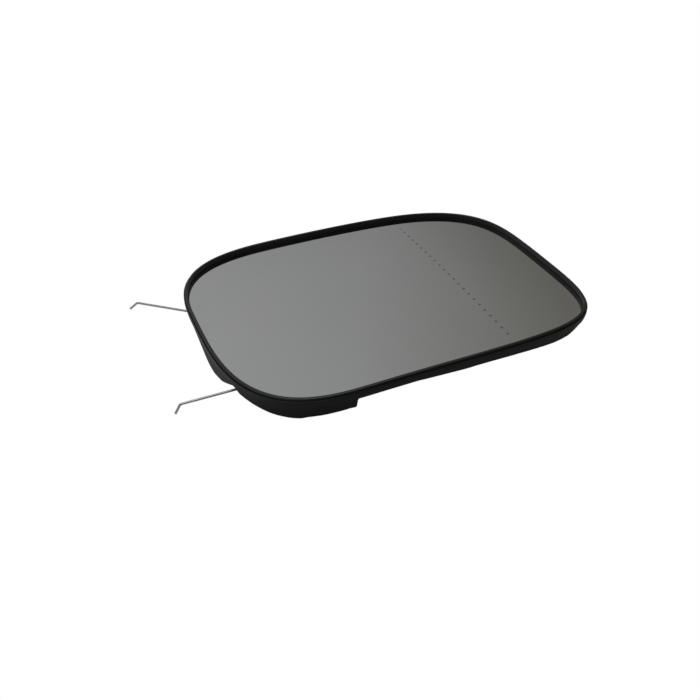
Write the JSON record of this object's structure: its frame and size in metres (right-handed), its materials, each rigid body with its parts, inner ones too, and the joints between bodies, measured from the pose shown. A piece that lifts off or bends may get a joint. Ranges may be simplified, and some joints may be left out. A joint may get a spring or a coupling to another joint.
{
  "type": "car door mirror glass",
  "caption": "Heated convex door mirror glass with a wide-angle outer zone, in a moulded holder with a clip-on socket and a retaining spring wire.",
  "frame": {"origin": "centre of the adjuster socket, in the plane of its mouth", "axes": "+X points to the outboard end of the mirror, +Y to the top edge of the fitted mirror, +Z out of the glass towards the viewer"},
  "size_m": [0.2123, 0.1363, 0.0151],
  "materials": {
    "mirror": "polished mirror coating on convex glass",
    "heater_film": "adhesive heating film",
    "terminal_metal": "tinned brass blades",
    "rivet_brass": "plain brass",
    "holder_plastic": "black moulded plastic with a fine satin grain",
    "spring_steel": "drawn spring steel wire"
  },
  "bodies": {
    "root": {"mirror_glass": "mirror", "heater_pad": "heater_film", "heater_terminal_upper": "terminal_metal", "heater_terminal_lower": "terminal_metal", "terminal_rivets": "rivet_brass", "glass_holder": "holder_plastic", "retaining_spring": "spring_steel"}
  },
  "joints": []
}
